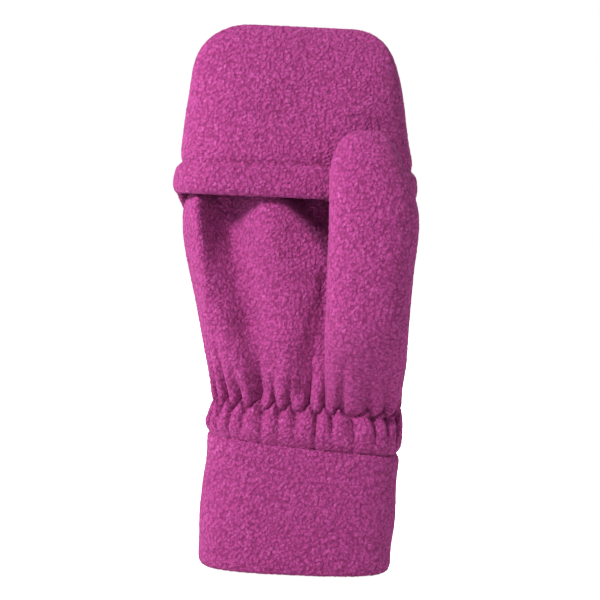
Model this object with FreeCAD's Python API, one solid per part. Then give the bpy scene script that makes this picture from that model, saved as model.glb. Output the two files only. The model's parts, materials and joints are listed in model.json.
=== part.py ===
"""Right-hand convertible fleece mitten with a flip-top hood.

Row frame, millimetres: the origin is the centre of the cuff's lower edge, +Z runs towards the fingertips, -Y is the
palm side, +Y is the back of the hand and +X is the thumb side. The cuff's folded lower edge lies in the plane Z = 0.
The hood is closed over the four half-finger sleeves. It turns about the seam that sews it to the back of the hand.
"""

import math
import os

import FreeCAD
import Part

V = FreeCAD.Vector

# ---------------------------------------------------------------- driving dimensions
FLEECE = 2.6                # thickness of one layer of fleece
LAYER_GAP = 0.25            # air between two layers that are sewn together
HOOD_GAP = 0.9              # running room between the hood's hem and the palm under it
HOOD_BACK_GAP = 0.4         # running room between the hood and the back of the hand
THREAD = 0.3                # how far a row of stitches stands off the cloth
STITCH_WIDTH = 0.7          # width of a row of stitches

CUFF_HEIGHT = 60.0
CUFF_WIDTH = 89.6
CUFF_DEPTH = 46.0
CUFF_TOP_WIDTH = 88.8
CUFF_TOP_DEPTH = 42.0
CUFF_LAYER_GAP = 0.6        # air between the cuff's outer and inner layers
CUFF_SEAM_SLOPE = -0.075    # the joining seam runs downhill towards the thumb side

RUFFLE_HEIGHT = 17.0        # from the joining seam up to the elastic
WRIST_WIDTH = 86.6          # at the elastic
WRIST_DEPTH = 36.5
ELASTIC_WIDTH = 6.0
ELASTIC_THICKNESS = 1.2
ELASTIC_CLEARANCE = 0.2

PALM_LENGTH = 97.0          # from the elastic to the top of the palm, where the fingers part
PALM_FRONT = 22.0           # palm surface, measured forwards from Y = 0
HAND_BACK = 19.0            # back surface, measured backwards from Y = 0
KNUCKLE_LEAN = -9.7         # how far the top of the palm leans away from the thumb

FINGER_WIDTH = 21.2         # outer width of one finger sleeve
FINGER_DEPTH = 19.0
FINGER_GAP = 1.4
FINGER_WALL = 1.8
FINGER_BACK_MARGIN = 2.7    # from the inside of the back panel to the sleeves
FINGER_HEM_WALL = 1.4
FINGER_HEM_HEIGHT = 6.0
FINGER_LENGTHS = {"little": 10.0, "ring": 14.5, "middle": 16.0, "index": 13.0}
SHOULDER_MARGIN = 5.3       # cloth outside the outermost finger sleeves

HOOD_LENGTH = 78.0          # from the hem's lower edge to the tip
HEM_OVERLAP = 2.0           # how far the hem hangs below the top of the palm
HEM_HEIGHT = 14.0
HOOD_SEAM_DROP = 22.0       # from the top of the palm down to the seam on the back of the hand
HOOD_TIP_LEAN = 1.6         # how far the hood's tip leans away from the thumb

THUMB_HINGE_X = 27.5
THUMB_RISE = 8.6            # from the elastic up to the thumb's lower end
THUMB_WIDTH = 36.8
THUMB_DEPTH = 28.0
THUMB_LENGTH = 98.5         # from the turning centre to the tip
THUMB_STAND_OFF = 1.2       # clear of the palm's front surface
THUMB_HOLE_MARGIN = 2.8     # cloth between the thumb's opening and its side walls
GUSSET_CLEARANCE = 0.6
GUSSET_WALL = 2.6
GUSSET_START, GUSSET_END = 205.0, 300.0   # degrees around the thumb's turning centre

PATCH_THICKNESS = 1.4
LOOP_PATCH_WIDTH, LOOP_PATCH_HEIGHT = 30.0, 20.0
HOOK_PATCH_WIDTH, HOOK_PATCH_HEIGHT = 24.0, 14.0
PATCH_X = -4.0
PATCH_REACH_SHARE = 0.8     # how far down from the hood's seam to the elastic the loop patch sits

LABEL_WIDTH, LABEL_HEIGHT, LABEL_THICKNESS = 13.0, 24.0, 0.5

SQUARENESS = 2.8            # superellipse exponent of the hand, hood and cuff
FINGER_SQUARENESS = 2.2
THUMB_SQUARENESS = 2.3
SECTION_POINTS = 24
FAR = 200.0                 # half-size of the boxes that trim other shapes
LEAST_ROOM = 0.5            # narrowest half width of a hollow

# ---------------------------------------------------------------- heights and places that follow
Z_ELASTIC = CUFF_HEIGHT + RUFFLE_HEIGHT
Z_PALM_TOP = Z_ELASTIC + PALM_LENGTH
Z_HOOD_MOUTH = Z_PALM_TOP - HEM_OVERLAP
Z_HOOD_TOP = Z_HOOD_MOUTH + HOOD_LENGTH
Z_HOOD_SEAM = Z_PALM_TOP - HOOD_SEAM_DROP
Z_THUMB_HINGE = Z_ELASTIC + THUMB_RISE + THUMB_WIDTH / 2
PATCH_REACH = PATCH_REACH_SHARE * (Z_HOOD_SEAM - Z_ELASTIC)    # both patches are as far from the seam

CUFF_TOP_X = 2.5            # the cuff leans this far towards the thumb over its height
WRIST_X = 2.7
KNUCKLE_X = WRIST_X + KNUCKLE_LEAN

PALM_HALF = (4 * FINGER_WIDTH + 3 * FINGER_GAP) / 2 + SHOULDER_MARGIN
HEM_LAYERS = 2 * FLEECE + LAYER_GAP
HOOD_HALF = PALM_HALF + HOOD_GAP + HEM_LAYERS
HOOD_FRONT = PALM_FRONT + HOOD_GAP + HEM_LAYERS
HOOD_BACK = HAND_BACK + HOOD_BACK_GAP + FLEECE
HINGE_Y = HOOD_BACK         # the hood folds about the outer face of its seam
SPLIT_Y = (HAND_BACK - PALM_FRONT) / 2
THUMB_BACK_Y = -PALM_FRONT - THUMB_STAND_OFF
THUMB_MID_Y = THUMB_BACK_Y - THUMB_DEPTH / 2
THUMB_HOLE_R = THUMB_WIDTH / 2 - FLEECE - THUMB_HOLE_MARGIN
FINGER_CENTRE_Y = HAND_BACK - FLEECE - FINGER_BACK_MARGIN - FINGER_DEPTH / 2


# ---------------------------------------------------------------- section and loft helpers
class Section:
    """One closed cross-section: its height, centre, half width, front and back, tilt, and how far it faces up."""

    def __init__(self, z, x, half, front, back, slope=0.0, up=0.0):
        self.z, self.x, self.half = z, x, half
        self.front, self.back = front, back
        self.slope, self.up = slope, up

    def inset(self, t):
        """The same section t further inside the cloth."""
        return Section(
            self.z - t * self.up, self.x, self.half - t, self.front + t, self.back - t, self.slope, self.up
        )

    def holds(self, t):
        """Whether there is still room between the two sides of the section, t further inside."""
        return min(self.half, (self.back - self.front) / 2) > t + LEAST_ROOM

    def lowered(self, dz):
        return Section(self.z - dz, self.x, self.half, self.front, self.back, self.slope, self.up)

    def wire(self, squareness):
        middle = (self.front + self.back) / 2
        half_depth = (self.back - self.front) / 2
        points = []
        for i in range(SECTION_POINTS):
            a = 2 * math.pi * i / SECTION_POINTS
            c, s = math.cos(a), math.sin(a)
            dx = self.half * math.copysign(abs(c) ** (2 / squareness), c)
            dy = half_depth * math.copysign(abs(s) ** (2 / squareness), s)
            points.append(V(self.x + dx, middle + dy, self.z + self.slope * dx))
        curve = Part.BSplineCurve()
        curve.interpolate(Points=points, PeriodicFlag=True)
        return Part.Wire([curve.toShape()])


def loft(sections, squareness=SQUARENESS, inset=0.0, below=0.0, above=0.0):
    """A solid through the sections, optionally inset, and run on past either end by a straight stretch.

    An inset shape leaves out the sections that are too narrow to hold it, where the cloth meets itself.
    """
    rows = [s.inset(inset) for s in sections if s.holds(inset)]
    if below:
        rows.insert(0, rows[0].lowered(below))
    if above:
        rows.append(rows[-1].lowered(-above))
    return Part.makeLoft([r.wire(squareness) for r in rows], True, False)


def box(x0, x1, y0, y1, z0, z1):
    return Part.makeBox(x1 - x0, y1 - y0, z1 - z0, V(x0, y0, z0))


def slab(z0, z1):
    return box(-FAR, FAR, -FAR, FAR, z0, z1)


def in_front_of(y):
    return box(-FAR, FAR, -FAR, y, -FAR, 2 * FAR)


def behind(y):
    return box(-FAR, FAR, y, FAR, -FAR, 2 * FAR)


def tilted_slab(z0, z1, x, slope):
    """A slab between two heights at x, tilted about Y."""
    block = box(-FAR, FAR, -FAR, FAR, z0, z1)
    block.rotate(V(x, 0, (z0 + z1) / 2), V(0, 1, 0), -math.degrees(math.atan(slope)))
    return block


def extruded_along_x(points):
    """A prism across the whole width from an outline of (y, z) points."""
    outline = Part.makePolygon([V(-FAR, y, z) for y, z in points + points[:1]])
    return Part.Face(outline).extrude(V(2 * FAR, 0, 0))


def across(x, z, radius):
    """A cylinder along Y."""
    return Part.makeCylinder(radius, 2 * FAR, V(x, -FAR, z), V(0, 1, 0))


def solids_only(shape):
    """The shape's solids, as one solid or one compound."""
    parts = shape.Solids
    return parts[0] if len(parts) == 1 else Part.makeCompound(parts)


# ---------------------------------------------------------------- where the hand's middle line runs
def cuff_sections():
    half, depth = CUFF_WIDTH / 2, CUFF_DEPTH / 2
    top_half, top_depth = CUFF_TOP_WIDTH / 2, CUFF_TOP_DEPTH / 2
    mid_depth = 0.6 * depth + 0.4 * top_depth
    return [
        Section(0, 0, half, -depth, depth),
        Section(CUFF_HEIGHT / 2, 0.35 * CUFF_TOP_X, half, -mid_depth, mid_depth, 0.4 * CUFF_SEAM_SLOPE),
        Section(CUFF_HEIGHT, CUFF_TOP_X, top_half, -top_depth, top_depth, CUFF_SEAM_SLOPE),
    ]


def palm_section(share, front, back, shrink=0.0, up=0.0):
    """A section at a share of the palm's length, widening and leaning from the wrist to the knuckles."""
    ease = math.sin(min(share, 1.0) * math.pi / 2)
    half = WRIST_WIDTH / 2 + (PALM_HALF - WRIST_WIDTH / 2) * ease - shrink
    x = WRIST_X + (KNUCKLE_X - WRIST_X) * share
    return Section(Z_ELASTIC + share * PALM_LENGTH, x, half, -front, back, up=up)


def hand_sections():
    top_half, top_depth = CUFF_TOP_WIDTH / 2, CUFF_TOP_DEPTH / 2
    wrist = WRIST_DEPTH / 2
    return [
        Section(CUFF_HEIGHT, CUFF_TOP_X, top_half, -top_depth, top_depth, CUFF_SEAM_SLOPE),
        Section(
            CUFF_HEIGHT + RUFFLE_HEIGHT / 2, WRIST_X, top_half - 0.6, 0.6 - top_depth, top_depth - 0.6,
            0.75 * CUFF_SEAM_SLOPE,
        ),
        Section(Z_ELASTIC, WRIST_X, WRIST_WIDTH / 2, -wrist, wrist, 0.45 * CUFF_SEAM_SLOPE),
        palm_section(0.10, PALM_FRONT - 1.7, HAND_BACK - 0.5),
        palm_section(0.26, PALM_FRONT - 0.3, HAND_BACK - 0.2),
        palm_section(0.48, PALM_FRONT, HAND_BACK),
        palm_section(0.70, PALM_FRONT, HAND_BACK),
        palm_section(0.88, PALM_FRONT, HAND_BACK, up=0.1),
        palm_section(0.96, PALM_FRONT - 0.8, HAND_BACK - 0.3, shrink=0.5, up=0.6),
        palm_section(1.0, PALM_FRONT - 4.0, HAND_BACK - 1.2, shrink=2.6, up=1.0),
    ]


def hood_sections():
    """Outer skin. The hem's two layers push it out below Z_HOOD_MOUTH + HEM_HEIGHT."""
    rows = [
        # share of the hood's length, half width given up, front given up, back given up, facing up
        (-0.40, 0.0, 0.0, 0.0, 0.0),
        (-0.27, 0.0, 0.0, 0.0, 0.0),
        (-0.13, 0.0, 0.0, 0.0, 0.0),
        (0.0, 0.0, 0.0, 0.0, 0.0),
        (0.14, 0.0, 0.0, 0.0, 0.0),
        (0.24, 2.8, 1.0, 0.2, 0.0),
        (0.42, 5.1, 2.2, 1.9, 0.0),
        (0.54, 6.6, 3.6, 3.6, 0.1),
        (0.68, 8.5, 6.6, 6.6, 0.2),
        (0.78, 10.6, 10.2, 9.4, 0.4),
        (0.855, 14.0, 14.2, 12.4, 0.6),
        (0.915, 18.4, 18.2, 15.2, 0.8),
        (0.965, 25.4, 22.4, 18.2, 1.0),
        (1.0, 32.5, 25.6, 20.4, 1.0),
    ]
    sections = []
    for share, side, front, back, up in rows:
        z = Z_HOOD_MOUTH + share * HOOD_LENGTH
        x = KNUCKLE_X + KNUCKLE_LEAN / PALM_LENGTH * min(z - Z_PALM_TOP, 0)
        x -= HOOD_TIP_LEAN * max(share, 0) * (2 - share)
        sections.append(Section(z, x, HOOD_HALF - side, front - HOOD_FRONT, HOOD_BACK - back, up=up))
    return sections


def thumb_sections():
    """The lower end is half round about the turning centre, so that it turns inside the gusset."""
    radius, half_depth = THUMB_WIDTH / 2, THUMB_DEPTH / 2
    rows = []
    for degrees in (-76, -60, -45, -30, -15, 0):
        sine = math.sin(math.radians(degrees))
        cosine = math.cos(math.radians(degrees))
        depth = half_depth * (0.45 + 0.55 * cosine ** 0.7) if degrees else half_depth
        rows.append(
            Section(
                Z_THUMB_HINGE + radius * sine, THUMB_HINGE_X, radius * cosine,
                THUMB_MID_Y - depth, THUMB_MID_Y + depth, up=min(0.0, sine),
            )
        )
    upper = [
        # share of the length, sideways shift, half width added, front, back (both added to the middle), facing up
        (0.25, 0.0, 0.0, 1.0, -0.6, 0.0),
        (0.43, 0.6, 0.7, 3.0, -2.0, 0.0),
        (0.62, 0.5, 1.3, 4.8, -4.4, 0.0),
        (0.735, -1.6, -0.1, 4.8, -5.8, 0.1),
        (0.83, -3.9, -2.2, 4.0, -7.2, 0.3),
        (0.91, -5.0, -4.9, 2.0, -9.2, 0.6),
        (0.965, -4.8, -9.2, -1.2, -12.0, 0.9),
        (1.0, -4.4, -14.2, -6.0, -16.4, 1.0),
    ]
    for share, shift, wider, front, back, up in upper:
        rows.append(
            Section(
                Z_THUMB_HINGE + share * THUMB_LENGTH, THUMB_HINGE_X + shift, radius + wider,
                THUMB_MID_Y - half_depth - front, THUMB_MID_Y + half_depth + back, up=up,
            )
        )
    return rows


def finger_centres():
    """Sleeve centres along X from the little finger to the index finger."""
    pitch = FINGER_WIDTH + FINGER_GAP
    return {
        name: KNUCKLE_X + (i - 1.5) * pitch
        for i, name in enumerate(FINGER_LENGTHS)
    }


def finger_shape(x, inset, z0, z1):
    half, depth = FINGER_WIDTH / 2 - inset, FINGER_DEPTH / 2 - inset
    rows = [
        Section(z, x, half, FINGER_CENTRE_Y - depth, FINGER_CENTRE_Y + depth)
        for z in (z0, z1)
    ]
    return loft(rows, FINGER_SQUARENESS)


# ---------------------------------------------------------------- the pieces
def cuff_band():
    """One strip of fleece folded double: an outer and an inner layer joined by the fold at the lower edge."""
    rows = cuff_sections()
    both = FLEECE + CUFF_LAYER_GAP + FLEECE
    wall = loft(rows).cut(loft(rows, inset=both, below=3, above=3))
    gap = loft(rows, inset=FLEECE, above=3).cut(loft(rows, inset=FLEECE + CUFF_LAYER_GAP, below=3, above=6))
    return wall.cut(gap.common(slab(FLEECE, 2 * CUFF_HEIGHT)))


def hand_shell():
    rows = hand_sections()
    shell = loft(rows).cut(loft(rows, inset=FLEECE, below=4))
    for x in finger_centres().values():
        shell = shell.cut(finger_shape(x, FINGER_WALL, Z_PALM_TOP - 3 * FLEECE, Z_PALM_TOP + FLEECE))
    return shell


def finger_sleeve(name, x):
    top = Z_PALM_TOP + FINGER_LENGTHS[name]
    tube = finger_shape(x, 0.0, Z_PALM_TOP, top)
    return tube.cut(finger_shape(x, FINGER_WALL, Z_PALM_TOP - 1, top + 1))


def finger_hem(name, x):
    top = Z_PALM_TOP + FINGER_LENGTHS[name]
    start = FINGER_WALL + LAYER_GAP
    ring = finger_shape(x, start, top - FINGER_HEM_HEIGHT, top)
    return ring.cut(finger_shape(x, start + FINGER_HEM_WALL, Z_PALM_TOP, top + 1))


def hood_mouth(rise=0.0):
    """Everything above the hood's free edge, which drops from the palm side to the seam at the back."""
    z, seam = Z_HOOD_MOUTH + rise, Z_HOOD_SEAM + 0.3 + rise
    back = HOOD_BACK - FLEECE - 0.4
    fall = z - seam
    return extruded_along_x([
        (-FAR, z), (-0.5 * HOOD_FRONT, z), (-0.1, z - 0.25 * fall), (0.6 * back, z - 0.68 * fall),
        (back, seam), (FAR, seam), (FAR, 2 * FAR), (-FAR, 2 * FAR),
    ])


def hood_shell():
    rows = hood_sections()
    return loft(rows).cut(loft(rows, inset=FLEECE, below=3)).common(hood_mouth())


def hood_hem():
    """The hood's edge turned in once: the second layer of the band, round the palm side and both ends."""
    rows = [s for s in hood_sections() if s.z < Z_HOOD_MOUTH + 2.8 * HEM_HEIGHT]
    layer = loft(rows, inset=FLEECE + LAYER_GAP).cut(loft(rows, inset=HEM_LAYERS, below=3, above=3))
    band = layer.common(hood_mouth()).cut(hood_mouth(HEM_HEIGHT))
    return band.common(in_front_of(SPLIT_Y))


def stitch_row(rows, region, squareness=SQUARENESS, inset=0.0):
    """A raised row of stitches where region meets the skin."""
    return loft(rows, squareness, inset=inset - THREAD).common(region).cut(loft(rows, squareness, inset=inset))


def thumb_shell():
    rows = thumb_sections()
    shell = loft(rows, THUMB_SQUARENESS).cut(loft(rows, THUMB_SQUARENESS, inset=FLEECE))
    hole = across(THUMB_HINGE_X, Z_THUMB_HINGE, THUMB_HOLE_R).common(behind(THUMB_MID_Y))
    return shell.cut(hole)


def thumb_gusset():
    """Joins the thumb to the palm: a collar round the thumb opening, and a lip under the thumb's rounded end."""
    x, z = THUMB_HINGE_X, Z_THUMB_HINGE
    outside = loft(hand_sections())
    collar = across(x, z, THUMB_HOLE_R + GUSSET_WALL).cut(across(x, z, THUMB_HOLE_R + 0.2))
    collar = collar.common(box(-FAR, FAR, THUMB_BACK_Y + 0.3, SPLIT_Y - 8, 0, FAR))
    lip_r = THUMB_WIDTH / 2 + GUSSET_CLEARANCE
    lip = across(x, z, lip_r + GUSSET_WALL).cut(across(x, z, lip_r))
    wedge_points = [V(x, -FAR, z)]
    for degrees in (GUSSET_START, (GUSSET_START + GUSSET_END) / 2, GUSSET_END):
        a = math.radians(degrees)
        wedge_points.append(V(x + 90 * math.cos(a), -FAR, z + 90 * math.sin(a)))
    wedge = Part.Face(Part.makePolygon(wedge_points + wedge_points[:1])).extrude(V(0, 2 * FAR, 0))
    lip = lip.common(wedge).common(box(-FAR, FAR, THUMB_MID_Y, SPLIT_Y - 8, 0, FAR))
    floor = across(x, z, lip_r + GUSSET_WALL).cut(across(x, z, THUMB_HOLE_R + GUSSET_WALL / 2)).common(wedge)
    floor = floor.common(box(-FAR, FAR, THUMB_BACK_Y + 0.3, SPLIT_Y - 8, 0, FAR))
    return collar.fuse(lip).fuse(floor).cut(outside)


def patch(rows, width, height, z):
    """A flat fastener patch that follows the curved back of the cloth."""
    block = box(PATCH_X - width / 2, PATCH_X + width / 2, 0, FAR, z - height / 2, z + height / 2)
    return loft(rows, inset=-PATCH_THICKNESS).common(block).cut(loft(rows))


def care_label():
    """A blank ribbon sewn into the joining seam at the little-finger side, hanging inside the cuff."""
    wall = FLEECE + CUFF_LAYER_GAP + FLEECE
    x = CUFF_TOP_X - CUFF_TOP_WIDTH / 2 + wall + 1.6
    return box(
        x, x + LABEL_THICKNESS, -LABEL_WIDTH / 2, LABEL_WIDTH / 2, CUFF_HEIGHT - LABEL_HEIGHT - 2, CUFF_HEIGHT - 2
    )


def build():
    hand, hood, thumb = hand_sections(), hood_sections(), thumb_sections()
    nodes = {"cuff_band": cuff_band(), "care_label": care_label()}

    shell = hand_shell()
    thumb_hole = across(THUMB_HINGE_X, Z_THUMB_HINGE, THUMB_HOLE_R).common(in_front_of(SPLIT_Y))
    nodes["palm_panel"] = shell.common(in_front_of(SPLIT_Y)).cut(thumb_hole)
    nodes["back_panel"] = shell.common(behind(SPLIT_Y))
    nodes["thumb_gusset"] = thumb_gusset()

    centres = finger_centres()
    for name, x in centres.items():
        nodes[name + "_finger_sleeve"] = finger_sleeve(name, x)
    nodes["finger_sleeve_hems"] = Part.makeCompound([finger_hem(n, x) for n, x in centres.items()])

    start = FLEECE + ELASTIC_CLEARANCE
    elastic = loft(hand, inset=start).cut(loft(hand, inset=start + ELASTIC_THICKNESS, below=4))
    nodes["wrist_elastic"] = elastic.common(
        tilted_slab(Z_ELASTIC - ELASTIC_WIDTH / 2, Z_ELASTIC + ELASTIC_WIDTH / 2, WRIST_X, 0.45 * CUFF_SEAM_SLOPE)
    )

    half = STITCH_WIDTH / 2
    nodes["elastic_stitching"] = stitch_row(
        hand, tilted_slab(Z_ELASTIC - half, Z_ELASTIC + half, WRIST_X, 0.45 * CUFF_SEAM_SLOPE)
    )
    nodes["cuff_joining_stitching"] = stitch_row(
        hand, tilted_slab(CUFF_HEIGHT + 0.2, CUFF_HEIGHT + 0.2 + STITCH_WIDTH, CUFF_TOP_X, CUFF_SEAM_SLOPE)
    )
    side = box(-FAR, FAR, SPLIT_Y - half, SPLIT_Y + half, CUFF_HEIGHT + 8, Z_ELASTIC - 4)
    upper_side = box(-FAR, FAR, SPLIT_Y - half, SPLIT_Y + half, Z_ELASTIC + 4, Z_HOOD_SEAM - 2)
    nodes["hand_side_seams"] = stitch_row(hand, side.fuse(upper_side))
    reach = 0.62 * PALM_HALF
    nodes["hood_attachment_stitching"] = stitch_row(
        hand, box(KNUCKLE_X - reach, KNUCKLE_X + reach, 0, FAR, Z_HOOD_SEAM - 0.6 - STITCH_WIDTH, Z_HOOD_SEAM - 0.6)
    )
    cuff = cuff_sections()
    cuff_side = box(-FAR, 0, -half, half, FLEECE, CUFF_HEIGHT - 4)
    nodes["cuff_side_seam"] = stitch_row(cuff, cuff_side)
    nodes["loop_patch"] = patch(hand, LOOP_PATCH_WIDTH, LOOP_PATCH_HEIGHT, Z_HOOD_SEAM - PATCH_REACH)

    cover = hood_shell()
    nodes["hood_front_panel"] = cover.common(in_front_of(SPLIT_Y))
    nodes["hood_back_panel"] = cover.common(behind(SPLIT_Y))
    nodes["hood_hem"] = hood_hem()
    hem_line = hood_mouth(HEM_HEIGHT - half).cut(hood_mouth(HEM_HEIGHT + half))
    nodes["hood_hem_stitching"] = stitch_row(hood, hem_line.common(in_front_of(SPLIT_Y)))
    edge = box(-FAR, FAR, SPLIT_Y - half, SPLIT_Y + half, Z_HOOD_MOUTH + HEM_HEIGHT + 2, Z_HOOD_TOP - 4)
    nodes["hood_edge_seam"] = stitch_row(hood, edge)
    nodes["hook_patch"] = patch(hood, HOOK_PATCH_WIDTH, HOOK_PATCH_HEIGHT, Z_HOOD_SEAM + PATCH_REACH)

    sleeve = thumb_shell()
    nodes["thumb_front_panel"] = sleeve.common(in_front_of(THUMB_MID_Y))
    nodes["thumb_back_panel"] = sleeve.common(behind(THUMB_MID_Y))
    thumb_edge = box(
        -FAR, FAR, THUMB_MID_Y - half, THUMB_MID_Y + half, Z_THUMB_HINGE + 2, Z_THUMB_HINGE + THUMB_LENGTH - 4
    )
    nodes["thumb_seam"] = stitch_row(thumb, thumb_edge, THUMB_SQUARENESS)
    return nodes


def main():
    os.makedirs("parts", exist_ok=True)
    for name, shape in build().items():
        shape = solids_only(shape)
        shape.exportStep("parts/" + name + ".step")
        b = shape.BoundBox
        print(
            f"{name:28s} solids {len(shape.Solids)} volume {shape.Volume:9.1f} valid {shape.isValid()}"
            f"  x {b.XMin:6.1f} {b.XMax:6.1f}  y {b.YMin:6.1f} {b.YMax:6.1f}  z {b.ZMin:6.1f} {b.ZMax:6.1f}"
        )


main()
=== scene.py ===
# %% [markdown]
# # A fleece mitten with a flip-top hood
# The mitten is four things sewn together: a folded cuff, a gathered hand with four half-finger sleeves, a thumb that
# lies in front of the palm, and a hood that closes over the fingers. All of it is one brushed fleece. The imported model
# gives the sizes, the places and the two folds that move. Every piece here is built around it, in metres.

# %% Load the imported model
import math
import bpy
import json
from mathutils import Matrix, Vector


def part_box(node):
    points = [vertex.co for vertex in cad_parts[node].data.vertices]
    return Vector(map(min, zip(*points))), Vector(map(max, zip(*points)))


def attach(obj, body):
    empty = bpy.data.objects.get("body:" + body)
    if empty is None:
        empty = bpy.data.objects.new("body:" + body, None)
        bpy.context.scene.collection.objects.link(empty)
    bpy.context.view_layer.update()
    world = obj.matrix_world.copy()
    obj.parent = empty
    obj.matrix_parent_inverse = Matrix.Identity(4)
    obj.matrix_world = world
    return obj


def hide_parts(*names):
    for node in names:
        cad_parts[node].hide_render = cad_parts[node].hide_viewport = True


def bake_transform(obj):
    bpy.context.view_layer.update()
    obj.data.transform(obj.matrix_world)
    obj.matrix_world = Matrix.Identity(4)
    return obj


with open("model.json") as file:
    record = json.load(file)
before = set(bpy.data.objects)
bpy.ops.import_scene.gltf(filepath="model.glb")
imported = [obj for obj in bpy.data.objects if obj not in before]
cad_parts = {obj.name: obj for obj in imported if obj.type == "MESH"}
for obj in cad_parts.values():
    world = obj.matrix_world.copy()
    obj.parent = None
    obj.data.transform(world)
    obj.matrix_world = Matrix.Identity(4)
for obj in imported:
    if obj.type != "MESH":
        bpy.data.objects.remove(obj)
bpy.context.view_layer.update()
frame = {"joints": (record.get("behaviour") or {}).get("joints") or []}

import bmesh
import bpy
import json
import numpy as np
from mathutils import Matrix, Vector, noise
from mathutils.bvhtree import BVHTree

# %% [markdown]
# ## Working in millimetres
# Cloth is easier to think about in millimetres, so every cage is built in them, and `to_piece` brings it to metres
# when it turns the bmesh into an object. The turning places of the hood and the thumb, the sleeves, both patches and
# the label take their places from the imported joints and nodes. The outlines of the cuff, hand, hood and thumb are rows
# of numbers for this mitten, so they have to be redrawn if its sizes change.

# %% Heights and places, in millimetres
MM = 0.001


def node_box(name):
    """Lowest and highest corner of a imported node, in millimetres."""
    low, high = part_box(name)
    return Vector(low) / MM, Vector(high) / MM


def joint_place(name):
    """Where a packed joint turns, in millimetres."""
    joint = next(j for j in frame["joints"] if j["name"] == name)
    return Vector(joint["pos_m"]) / MM


CLOTH = 2.6                                     # thickness of one layer of fleece
CUFF_TOP = 60.0
Z_ELASTIC = 77.0
Z_HEM = 172.0
HOOD_HINGE = joint_place("hood_flip")
THUMB_HINGE = joint_place("thumb_swing")
print("hood turns about", HOOD_HINGE, "thumb turns about", THUMB_HINGE)

# %% [markdown]
# ## A tube of cloth
# Every part of a mitten starts as a tube. A tube could be drawn as one outline and spun, but a hand is wide and flat
# and changes all the way up. So the tube starts as one ring, and its edge is extruded ring by ring, each ring moved
# onto its own outline. The outline is a superellipse: an ellipse with squarer corners, which is how a stuffed flat
# pouch looks from its end.

# %% Outlines and tubes
def outline(left, right, front, back, power, count):
    """Points spread evenly round a superellipse, counted from the thumb side through the back of the hand."""
    angle = np.linspace(0.0, 2 * math.pi, 1441)
    c, s = np.cos(angle), np.sin(angle)
    x = (left + right) / 2 + (right - left) / 2 * np.sign(c) * np.abs(c) ** (2 / power)
    y = (front + back) / 2 + (back - front) / 2 * np.sign(s) * np.abs(s) ** (2 / power)
    steps = np.concatenate([[0.0], np.cumsum(np.hypot(np.diff(x), np.diff(y)))])
    wanted = np.linspace(0.0, steps[-1], count, endpoint=False)
    return list(zip(np.interp(wanted, steps, x), np.interp(wanted, steps, y)))


def start_ring(bm, points, height):
    """The first ring: a circle of vertices moved onto the outline."""
    made = bmesh.ops.create_circle(bm, cap_ends=False, segments=len(points), radius=1.0)["verts"]
    ring = sorted(made, key=lambda v: math.atan2(v.co.y, v.co.x) % (2 * math.pi))
    for vertex, (x, y) in zip(ring, points):
        vertex.co = (x, y, height(x, y))
    return ring


def next_ring(bm, ring, points, height):
    """Extrudes the ring's edges and moves the copies onto the next outline."""
    bm.verts.index_update()
    members = set(ring)
    edges = [e for e in bm.edges if e.verts[0] in members and e.verts[1] in members]
    made = bmesh.ops.extrude_edge_only(bm, edges=edges)["geom"]
    copies = {v.co.to_tuple(6): v for v in made if isinstance(v, bmesh.types.BMVert)}
    new_ring = [copies[v.co.to_tuple(6)] for v in ring]
    for vertex, (x, y) in zip(new_ring, points):
        vertex.co = (x, y, height(x, y))
    return new_ring


def tube(rows, power, count):
    """A bmesh tube through rows of (left, right, front, back, height). A height is a number or a function of x, y."""
    bm = bmesh.new()
    ring = None
    for left, right, front, back, z in rows:
        points = outline(left, right, front, back, power, count)
        height = z if callable(z) else (lambda x, y, z=z: z)
        ring = start_ring(bm, points, height) if ring is None else next_ring(bm, ring, points, height)
    return bm, ring


def zip_shut(bm, ring):
    """Closes a flat ring with a row of faces across it, as a seam along the tip does."""
    count = len(ring)
    half = count // 2
    for i in range(half):
        corners = [ring[i], ring[i + 1], ring[(count - i - 1) % count], ring[(count - i) % count]]
        corners = list(dict.fromkeys(corners))
        bm.faces.new(corners)


# %% [markdown]
# ## From a cage to cloth
# Most cages get a wall with Solidify, and all are rounded with Subdivision Surface, both applied. The folds are then
# pushed in with a field: a function that gives each point a shift. Both sides of the wall lie close together, so they
# get the same shift, and the wall keeps its thickness.

# %% Cage to object
def to_piece(bm, name):
    """The bmesh as an object in metres, its faces pointing outwards."""
    bmesh.ops.remove_doubles(bm, verts=bm.verts, dist=0.001)
    bmesh.ops.recalc_face_normals(bm, faces=bm.faces)
    bmesh.ops.scale(bm, vec=(MM, MM, MM), verts=bm.verts)
    mesh = bpy.data.meshes.new(name)
    bm.to_mesh(mesh)
    bm.free()
    piece = bpy.data.objects.new(name, mesh)
    bpy.context.collection.objects.link(piece)
    return piece


def apply_modifiers(piece):
    """Replaces the piece's mesh by what its modifiers make of it."""
    graph = bpy.context.evaluated_depsgraph_get()
    graph.update()
    mesh = bpy.data.meshes.new_from_object(piece.evaluated_get(graph))
    piece.modifiers.clear()
    old = piece.data
    piece.data = mesh
    bpy.data.meshes.remove(old)
    for polygon in mesh.polygons:
        polygon.use_smooth = True


def give_wall(piece, thickness):
    """Thickens the piece inwards."""
    wall = piece.modifiers.new("wall", "SOLIDIFY")
    wall.thickness = thickness * MM
    wall.offset = -1.0
    wall.use_even_offset = False
    apply_modifiers(piece)


def make_round(piece, levels):
    smooth = piece.modifiers.new("round", "SUBSURF")
    smooth.levels = levels
    smooth.render_levels = levels
    apply_modifiers(piece)


def points_of(piece):
    """The piece's points as rows of x, y, z in millimetres."""
    co = np.empty(len(piece.data.vertices) * 3)
    piece.data.vertices.foreach_get("co", co)
    return co.reshape(-1, 3) / MM


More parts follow.
